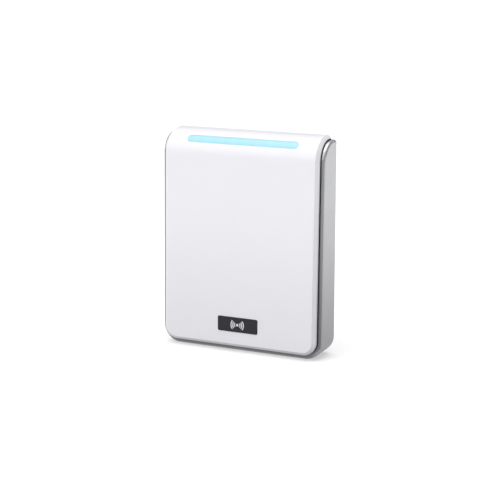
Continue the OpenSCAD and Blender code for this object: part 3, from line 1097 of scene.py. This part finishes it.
@dataclass
class FrontCover:
    """The white cover, hollow behind, with a slot for the bar and a recess for the badge."""

    paints: Paints
    wall: float = 2 * MM
    bar_length: float = 66 * MM
    bar_height: float = 4.5 * MM
    bar_reach: tuple[float, float] = (10 * MM, 18 * MM)
    bar_sunk: float = 0.1 * MM
    bar_rear: float = 1.9 * MM
    slot_play: float = 0.3 * MM
    badge: tuple[float, float] = (24 * MM, 8.2 * MM)
    badge_corner: float = 0.8 * MM
    badge_sunk: float = 0.6 * MM
    badge_proud: float = 0.3 * MM
    badge_edge: float = 0.2 * MM
    recess_play: float = 0.2 * MM
    recess_clear: float = 2 * MM
    lip: float = 0.12 * MM
    boss_radius: float = 3.5 * MM
    boss_sunk: float = 1 * MM
    boss_rear: float = -5.5 * MM
    insert_radius: float = 2.3 * MM
    insert_front: float = -11.1 * MM

    def build(self) -> None:
        """Builds the cover, the bar and the badge."""
        self._shell()
        self._lens()
        self._badge()

    def _shell(self) -> None:
        """The wrapped shell with its four screw bosses."""
        behind = replace(HOUSING.shrunk(-SHADOW_GAP, -FAR, FAR), low=-BEYOND, corner=0.0).form()
        hollow = COVER.shrunk(self.wall, self.wall, FAR).form()
        slot = slab_form(
            self.bar_length + self.slot_play,
            self.bar_height + self.slot_play,
            FULL_ROUND,
            *self.bar_reach,
        )
        recess = slab_form(
            self.badge[0] + self.recess_play,
            self.badge[1] + self.recess_play,
            self.badge_corner + self.recess_play / 2,
            -self.badge_sunk,
            self.recess_clear,
        )
        tools = [behind, hollow, placed(slot, SEATS.on_curve()), placed(recess, SEATS.on_face())]
        shell = carve(COVER.form(), tools)
        round_edges(shell, self._is_recess_lip, self.lip, 2)
        whole = gather([shell, *self._bosses()])
        # The chamfer gets painted shade: a darker copy of the cover's white.
        self._paint_rim_shade(whole)
        label = Label("cover_shell", Body.READER, ("front_cover",), "cover_white")
        publish(whole, label, [self.paints.get("cover_white"), self.paints.get("rim", RIM_PAINTED_SHADE)])

    @staticmethod
    def _paint_rim_shade(bm: bmesh.types.BMesh) -> None:
        """Gives the chamfer round the outline a darker copy of the cover's white, as painted shade.

        Args:
            bm: The cover, whose chamfer leans outwards between the face and the sides.
        """
        bm.normal_update()
        for face in bm.faces:
            outward = math.hypot(face.normal.x, min(face.normal.z, 0.0))
            if 0.5 < outward < 0.9:
                face.material_index = 1

    def _is_recess_lip(self, edge: bmesh.types.BMEdge) -> bool:
        """Whether an edge is on the lip of the badge's recess.

        Args:
            edge: An edge of the shell.

        Returns:
            Whether it is on the face, round the badge.
        """
        local = SEATS.on_face().inverted()
        places = [local @ v.co for v in edge.verts]
        reach = [size / 2 + self.recess_clear for size in self.badge]
        inside = all(
            abs(p.z) < 2 * NEAR and abs(p.x) < reach[0] and abs(p.y) < reach[1] for p in places
        )
        return inside and edge.calc_face_angle(0.0) > 0.5

    def _bosses(self) -> Iterable[bmesh.types.BMesh]:
        """The tubes behind the face that hold the threaded inserts.

        Yields:
            One closed tube for each screw.
        """
        for x, z in BOSS_PLACES:
            front = self.boss_sunk - COVER.depth_at(z)
            tube = rod_form(self.boss_radius, (x, front, z), (x, self.boss_rear, z))
            bore = rod_form(self.insert_radius, (x, self.insert_front, z), (x, 0, z))
            yield carve(tube, [bore])

    def _lens(self) -> None:
        """The bar's diffuser, curved with the cover and a hair below its surface."""
        pill = slab_form(self.bar_length, self.bar_height, FULL_ROUND, *self.bar_reach)
        flush = COVER.shrunk(self.bar_sunk, 0.0, FAR).form()
        within = COVER.shrunk(self.bar_rear, self.bar_rear, FAR).form()
        lens = carve(placed(pill, SEATS.on_curve()), [flush], Cut.COMMON)
        lens = carve(lens, [within])
        round_edges(lens, sharp(55), self.lip, 2)
        label = Label("bar_diffuser", Body.READER, ("light_bar_lens",), "bar_light")
        publish(lens, label, [self.paints.get("bar_light")])

    def _badge(self) -> None:
        """The badge plate with a softened rim, and the raised sign on it."""
        plate = slab_form(*self.badge, self.badge_corner, -self.badge_sunk, self.badge_proud)
        round_edges(plate, self._is_badge_rim, self.badge_edge, 3)
        label = Label("badge_tablet", Body.READER, ("badge_plate",), "badge_dark")
        publish(placed(plate, SEATS.on_face()), label, [self.paints.get("badge_dark")])
        where = SEATS.on_face() @ Matrix.Translation((0, 0, self.badge_proud))
        label = Label("contactless_arcs", Body.READER, ("badge_symbol",), "badge_mark")
        publish(placed(ContactlessSign().form(), where), label, [self.paints.get("badge_mark")])

    def _is_badge_rim(self, edge: bmesh.types.BMEdge) -> bool:
        """Whether an edge runs round the badge's front."""
        front = all(abs(v.co.z - self.badge_proud) < SAME for v in edge.verts)
        return front and edge.calc_face_angle(0.0) > 0.5


@dataclass(frozen=True)
class ContactlessSign:
    """A dot with raised arcs on both sides, lying on the local XY plane."""

    radii: Triple = (1.7 * MM, 2.75 * MM, 3.8 * MM)
    spread: float = math.radians(38.7)
    line: float = 0.6 * MM
    dot_radius: float = 0.75 * MM
    rise: float = 0.12 * MM
    easing: float = 0.04 * MM

    def form(self) -> bmesh.types.BMesh:
        """The dot and its arcs as loose parts of one form."""
        arcs = [self._arc(radius, side) for side in (0.0, math.pi) for radius in self.radii]
        return gather([self._dot(), *arcs])

    def _dot(self) -> bmesh.types.BMesh:
        """The dot that the arcs spread from, with its upper edge eased.

        Returns:
            The closed form.
        """
        bm = rod_form(self.dot_radius, (0, 0, 0), (0, 0, self.rise), 28)
        round_edges(bm, self._is_upper, self.easing, 2)
        return bm

    def _arc(self, radius: float, side: float) -> bmesh.types.BMesh:
        """One raised arc, with its upper edges eased.

        Args:
            radius: Radius of its middle line, in metres.
            side: Which way it opens, in radians.

        Returns:
            The closed form.
        """
        bm = bmesh.new()
        quarter = Matrix.Rotation(math.pi / 2, 4, "X")
        bmesh.ops.create_grid(bm, x_segments=1, y_segments=1, size=0.5, matrix=quarter)
        bmesh.ops.scale(bm, verts=bm.verts, vec=(self.line, 1, self.rise))
        bmesh.ops.translate(bm, verts=bm.verts, vec=(radius, 0, self.rise / 2))
        start = Matrix.Rotation(side - self.spread, 3, "Z")
        bmesh.ops.rotate(bm, verts=bm.verts, cent=(0, 0, 0), matrix=start)
        bmesh.ops.spin(
            bm,
            geom=[*bm.verts, *bm.edges, *bm.faces],
            cent=(0, 0, 0),
            axis=(0, 0, 1),
            angle=2 * self.spread,
            steps=24,
            use_merge=False,
        )
        bmesh.ops.recalc_face_normals(bm, faces=bm.faces)
        round_edges(bm, self._is_upper, self.easing, 2)
        return bm

    def _is_upper(self, edge: bmesh.types.BMEdge) -> bool:
        """Whether an edge parts the sign's top from its sides."""
        raised = all(v.co.z > self.rise / 2 for v in edge.verts)
        return raised and edge.calc_face_angle(0.0) > 1.0


@dataclass
class CoverSeal:
    """The black lip seal that fills the gap and shows as a fine bead round the cover."""

    paints: Paints
    bead: float = 0.35 * MM
    bead_edge: float = 0.15 * MM
    lip: float = 2.6 * MM
    rear: float = -3 * MM
    middle_rear: float = -5.2 * MM

    def build(self) -> None:
        """Cuts the seal from the gap's own form."""
        outline = {
            "low": COVER.low - self.bead,
            "half_width": COVER.half_width + self.bead,
            "corner": COVER.corner + self.bead,
        }
        whole = replace(HOUSING.shrunk(-SHADOW_GAP, 0.0, self.rear), **outline).form()
        under = replace(HOUSING.shrunk(0.0, 0.0, FAR), low=-BEYOND, half_width=BEYOND, corner=0.0)
        inside = COVER.shrunk(0.0, self.lip, self.middle_rear)
        middle = replace(inside, top_depth=FAR, low_depth=FAR, curve=1 * MM, top=BEYOND)
        seal = carve(whole, [under.form(), middle.form()])
        round_edges(seal, self._is_bead, self.bead_edge, 2)
        label = Label("lip_seal", Body.READER, ("cover_seal",), "seal_rubber")
        publish(seal, label, [self.paints.get("seal_rubber")])

    def _is_bead(self, edge: bmesh.types.BMEdge) -> bool:
        """Whether an edge runs round the outside of the bead.

        Args:
            edge: An edge of the seal.

        Returns:
            Whether it is on the bead's sides or its lowest part.
        """
        half = COVER.half_width + self.bead - NEAR
        side = all(abs(v.co.x) > half for v in edge.verts)
        low = all(v.co.z < COVER.low - self.bead + NEAR for v in edge.verts)
        return (side or low) and edge.calc_face_angle(0.0) > 1.0


# ---- Housing ----


@dataclass
class Housing:
    """The metal-look frame behind the cover, with the ledge and the lock's tower inside."""

    paints: Paints
    wall: float = 2.2 * MM
    top_wall: float = 1.8 * MM
    flange: float = 2 * MM
    opening_half: float = 42 * MM
    opening_low: float = -54.05 * MM
    opening_corner: float = 5 * MM
    ledge_front: float = -7 * MM
    ledge_rear: float = -5.5 * MM
    ledge_top: float = 47 * MM
    ledge_insets: tuple[float, float] = (2 * MM, 5 * MM)
    notch_half: float = 14 * MM
    notch_top: float = -40 * MM
    lock_depth: float = -6.5 * MM
    recess_radius: float = 3.1 * MM
    recess_top: float = -54.9 * MM
    bore_radius: float = 1.65 * MM
    tower_radius: float = 5 * MM
    tower_ends: tuple[float, float] = (-59.75 * MM, -53.7 * MM)
    rear_edge: float = 0.3 * MM

    def build(self) -> None:
        """Cuts the frame from its outer form and gives the front-facing shoulder a darker copy of the
        metal as painted shade.
        """
        inner = replace(
            HOUSING.shrunk(self.wall, self.wall, FAR),
            top_depth=HOUSING.top_depth - self.flange,
            low_depth=HOUSING.low_depth - self.flange,
            top=HOUSING.top - self.top_wall,
            curve=HOUSING.curve - self.top_wall,
        ).form()
        shell = carve(HOUSING.form(), [inner, self._front_opening()])
        tower = self._lock_rod(self.tower_radius, *self.tower_ends)
        shell = carve(shell, [self._ledge(), tower], Cut.JOIN)
        recess = self._lock_rod(self.recess_radius, -BEYOND, self.recess_top)
        bore = self._lock_rod(self.bore_radius, -BEYOND, 0.0)
        shell = carve(shell, [recess, bore])
        round_edges(shell, self._is_rear_rim, self.rear_edge, 2)
        # Painted shade: the front-facing shoulder gets a darker copy of the metal.
        self._paint_shoulder_shade(shell)
        label = Label("frame_shell", Body.READER, ("housing",), "housing_metal")
        materials = [self.paints.get("housing_metal"), self.paints.get("shoulder", SHOULDER_PAINTED_SHADE)]
        publish(shell, label, materials)

    def _front_opening(self) -> bmesh.types.BMesh:
        """The opening in the front that the boards reach through.

        Returns:
            The form to cut away.
        """
        low = (-self.opening_half, -FAR, self.opening_low)
        bm = box_form(low, (self.opening_half, self.ledge_front, BEYOND))
        round_edges(bm, bottom_corners(self.opening_low), self.opening_corner, INNER_STRIPS)
        return bm

    def _ledge(self) -> bmesh.types.BMesh:
        """The inner ledge that the rear shell is clamped against, with a gap for the lock.

        Returns:
            The closed form.
        """
        wide, narrow = self.ledge_insets
        outer = self._outline(wide, self.ledge_front, self.ledge_rear, self.ledge_top)
        inner = self._outline(narrow, -FAR, 0.0, FAR)
        notch = box_form((-self.notch_half, -FAR, -BEYOND), (self.notch_half, 0, self.notch_top))
        return carve(outer, [inner, notch])

    @staticmethod
    def _outline(inset: float, front: float, rear: float, top: float) -> bmesh.types.BMesh:
        """The housing's front outline, set in, as a plate between two depths.

        Args:
            inset: How far inside the outline, in metres.
            front: Front of the plate on Y.
            rear: Rear of the plate on Y.
            top: Its top on Z.

        Returns:
            The closed form.
        """
        half = HOUSING.half_width - inset
        low = HOUSING.low + inset
        bm = box_form((-half, front, low), (half, rear, top))
        round_edges(bm, bottom_corners(low), HOUSING.corner - inset, INNER_STRIPS)
        return bm

    def _lock_rod(self, radius: float, low: float, high: float) -> bmesh.types.BMesh:
        """An upright cylinder on the locking screw's axis, between two heights."""
        return rod_form(radius, (0, self.lock_depth, low), (0, self.lock_depth, high))

    @staticmethod
    def _is_rear_rim(edge: bmesh.types.BMEdge) -> bool:
        """Whether an edge is on the outside of the rear rim.

        Args:
            edge: An edge of the frame.

        Returns:
            Whether it runs round the frame's back, sides, bottom corners or top.
        """
        margin = 5 * NEAR
        rear = all(abs(v.co.y - HOUSING.rear) < SAME for v in edge.verts)
        middle = (edge.verts[0].co + edge.verts[1].co) / 2
        outside = (
            abs(middle.x) > HOUSING.half_width - margin
            or middle.z < HOUSING.low + margin
            or middle.z > HOUSING.top - margin
            or (middle.z < -50 * MM and abs(middle.x) > 40 * MM)
        )
        return rear and outside and edge.calc_face_angle(0.0) > 0.5

    @staticmethod
    def _paint_shoulder_shade(bm: bmesh.types.BMesh) -> None:
        """Gives the front-facing skin a darker copy of the metal, as painted shade.

        Args:
            bm: The frame, whose shoulder is the skin in front of its ledge.
        """
        for face in bm.faces:
            upright = face.normal.y < -0.7 and abs(face.normal.z) < 0.2
            if upright and face.calc_center_median().y < -13 * MM:
                face.material_index = 1


# ---- Screws with sockets ----


@dataclass
class SocketScrews:
    """The screws that hold the cover, whose heads have a hexagon socket and a rounded rim."""

    paints: Paints
    head_radius: float = 2.5 * MM
    head_height: float = 1.4 * MM
    shank_radius: float = 1.5 * MM
    socket_radius: float = 1.25 * MM
    socket_depth: float = 0.8 * MM
    rim: float = 0.35 * MM
    overlap: float = 0.1 * MM

    def build(self) -> None:
        """Makes one screw at each boss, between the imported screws' own ends."""
        low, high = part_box("cover_screws")
        screws = [self._screw(x, z, low.y, high.y) for x, z in BOSS_PLACES]
        label = Label("socket_screws", Body.READER, ("cover_screws",), "screw_steel")
        publish(gather(screws), label, [self.paints.get("screw_steel")])

    def _screw(self, x: float, z: float, tip: float, top: float) -> bmesh.types.BMesh:
        """One screw along Y.

        Args:
            x: Place across.
            z: Height.
            tip: End of the shank on Y.
            top: Face of the head on Y.

        Returns:
            The closed form.
        """
        seat = top - self.head_height
        head = rod_form(self.head_radius, (x, seat, z), (x, top, z))
        round_edges(head, lambda e: all(v.co.y > top - NEAR for v in e.verts), self.rim, 3)
        shank = rod_form(self.shank_radius, (x, tip, z), (x, seat + self.overlap, z))
        deep = top - self.socket_depth
        socket = rod_form(self.socket_radius, (x, deep, z), (x, top + 1 * MM, z), 6)
        return carve(carve(head, [shank], Cut.JOIN), [socket])


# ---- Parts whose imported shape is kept, with their edges broken ----


@dataclass(frozen=True)
class BrokenEdges:
    """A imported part's own mesh, merged, with its sharp edges broken."""

    label: Label
    width: float
    segments: int = 2
    turn: float = 40.0

    def build(self, paints: Paints) -> None:
        """Copies, merges and bevels the part.

        Args:
            paints: Where its finish comes from.
        """
        bm = bmesh.new()
        bm.from_mesh(frame["nodes"][self.label.nodes[0]].data)
        bmesh.ops.remove_doubles(bm, verts=bm.verts, dist=2e-6)
        bmesh.ops.dissolve_limit(bm, angle_limit=math.radians(0.6), verts=bm.verts, edges=bm.edges)
        bmesh.ops.recalc_face_normals(bm, faces=bm.faces)
        round_edges(bm, sharp(self.turn), self.width, self.segments)
        publish(bm, self.label, [paints.get(self.label.slot)])


TRIMMED = (
    BrokenEdges(Label("steel_back_plate", Body.WALL, ("wall_plate",), "plate_steel"), 0.2 * MM),
    BrokenEdges(Label("rear_moulding", Body.READER, ("rear_shell",), "shell_plastic"), 0.2 * MM),
    BrokenEdges(Label("foam_gasket", Body.READER, ("weather_gasket",), "seal_rubber"), 0.3 * MM, 3),
    BrokenEdges(Label("terminal_strip", Body.READER, ("terminal_block",), "terminal_green"), 0.15 * MM),
    BrokenEdges(Label("terminal_clamps", Body.READER, ("terminal_screws",), "brass_parts"), 0.08 * MM),
    BrokenEdges(Label("dowels", Body.READER, ("hinge_pins",), "screw_steel"), 0.25 * MM, 3),
    BrokenEdges(Label("switch_case", Body.READER, ("tamper_switch",), "chip_black"), 0.2 * MM),
    BrokenEdges(Label("plunger_rod", Body.BUTTON, ("tamper_plunger",), "part_ivory"), 0.2 * MM, 3),
    BrokenEdges(Label("clip_ring", Body.READER, ("screw_retainer",), "shell_plastic"), 0.1 * MM),
    BrokenEdges(Label("security_screw", Body.LOCK, ("locking_screw",), "screw_steel"), 0.15 * MM, 3),
)


# ---- Stage ----


@dataclass(frozen=True)
class Sun:
    """A very soft distant light, in watts per square metre, with its angles in degrees."""

    name: str
    strength: float
    aside: float
    down: float
    spread: float = 60.0

    def hang(self) -> None:
        """Hangs it turned aside from the front, towards the right, and down from the vertical."""
        light = bpy.data.lights.new(self.name, "SUN")
        light.energy = self.strength
        light.angle = math.radians(self.spread)
        holder = bpy.data.objects.new(self.name, light)
        aside, down = math.radians(self.aside), math.radians(self.down)
        level = math.sin(down)
        source = Vector((math.sin(aside) * level, -math.cos(aside) * level, math.cos(down)))
        holder.rotation_euler = source.to_track_quat("Z", "Y").to_euler()
        bpy.context.scene.collection.objects.link(holder)


@dataclass
class Studio:
    """Floor, low wall, soft lights and camera."""

    aim: Triple = (1.644 * MM, -10 * MM, -4.919 * MM)
    azimuth: float = math.radians(25.22)
    elevation: float = math.radians(12.81)
    distance: float = 774.2 * MM
    lens: float = 100.8
    floor_size: float = 30.0
    floor_gap: float = 0.02 * MM
    wall_radius: float = 6.0
    wall_height: float = 0.87
    surroundings: float = 0.25
    suns: tuple[Sun, ...] = (
        Sun("overhead", 2.3, 0.0, 0.0),
        Sun("left_front", 1.45, -40.0, 50.0),
        Sun("rear", 0.25, 180.0, 45.0),
    )

    def build(self) -> None:
        """Sets up the whole stage."""
        self._floor()
        self._backdrop()
        self._world()
        for sun in self.suns:
            sun.hang()
        self._camera()
        settings = bpy.context.scene.view_settings
        settings.view_transform = "Standard"
        settings.look = "None"

    def _floor(self) -> None:
        """A plain white floor that the reader stands on."""
        bm = bmesh.new()
        low = Matrix.Translation((0, 0, -HALF_HEIGHT - self.floor_gap))
        bmesh.ops.create_grid(bm, x_segments=8, y_segments=8, size=self.floor_size, matrix=low)
        self._paper(bm, "floor", 0.45, 0.2)

    def _backdrop(self) -> None:
        """A low, far, round white wall behind the floor, on every side."""
        bm = bmesh.new()
        middle = Matrix.Translation((0, 0, self.wall_height / 2 - HALF_HEIGHT))
        bmesh.ops.create_cone(
            bm,
            cap_ends=False,
            segments=96,
            radius1=self.wall_radius,
            radius2=self.wall_radius,
            depth=self.wall_height,
            matrix=middle,
        )
        self._paper(bm, "backdrop", 0.8, 0.5)

    @staticmethod
    def _paper(bm: bmesh.types.BMesh, name: str, glow: float, gloss: float) -> None:
        """Makes a form a sheet of white paper that belongs to the stage.

        Args:
            bm: The form, used up.
            name: Its name.
            glow: Strength of the light that it gives off.
            gloss: Its specular level.
        """
        mesh = bpy.data.meshes.new(name)
        bm.to_mesh(mesh)
        bm.free()
        bench = Bench(name + "_paper")
        fibre = bench.grain(0.8 * MM)
        sockets = {
            "Base Color": bench.blend(fibre, (0.53, 0.53, 0.53), (0.57, 0.57, 0.57)),
            "Roughness": 0.8 + fibre * 0.1,
            "Specular IOR Level": gloss,
            "Emission Color": bench.blend(fibre, (0.98, 0.98, 0.98), (1.0, 1.0, 1.0)),
            "Emission Strength": glow,
        }
        mesh.materials.append(bench.close(sockets))
        paper = bpy.data.objects.new(name, mesh)
        bpy.context.scene.collection.objects.link(paper)

    def _world(self) -> None:
        """Even white surroundings."""
        world = bpy.data.worlds.new("studio")
        world.use_nodes = True
        backdrop = world.node_tree.nodes["Background"]
        backdrop.inputs["Color"].default_value = (1.0, 1.0, 1.0, 1.0)
        backdrop.inputs["Strength"].default_value = self.surroundings
        bpy.context.scene.world = world

    def _camera(self) -> None:
        """A long lens from the front right, a little above."""
        data = bpy.data.cameras.new("viewpoint")
        data.lens = self.lens
        data.sensor_width = 36.0
        data.clip_start = 0.01
        data.clip_end = 100.0
        camera = bpy.data.objects.new("viewpoint", data)
        across, up = math.cos(self.elevation), math.sin(self.elevation)
        back = Vector((math.sin(self.azimuth) * across, -math.cos(self.azimuth) * across, up))
        camera.location = Vector(self.aim) + back * self.distance
        camera.rotation_euler = back.to_track_quat("Z", "Y").to_euler()
        bpy.context.scene.collection.objects.link(camera)
        bpy.context.scene.camera = camera


def dress_packed_parts(paints: Paints) -> None:
    """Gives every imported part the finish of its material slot.

    Args:
        paints: Where the finishes come from.
    """
    for part in frame["record"]["subparts"]:
        node = frame["nodes"][part["node"]]
        node.data.materials.clear()
        node.data.materials.append(paints.get(part["material_slot"]))
        LOG.info("%s: dressed as %s", part["node"], part["material_slot"])


def main() -> None:
    """Builds the stage and every piece in order."""
    logging.basicConfig(level=logging.INFO, format="%(name)s %(message)s")
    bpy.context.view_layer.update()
    Studio().build()
    paints = Paints()
    dress_packed_parts(paints)
    FrontCover(paints).build()
    CoverSeal(paints).build()
    Housing(paints).build()
    SocketScrews(paints).build()
    for part in TRIMMED:
        part.build(paints)


if __name__ == "__main__":
    main()
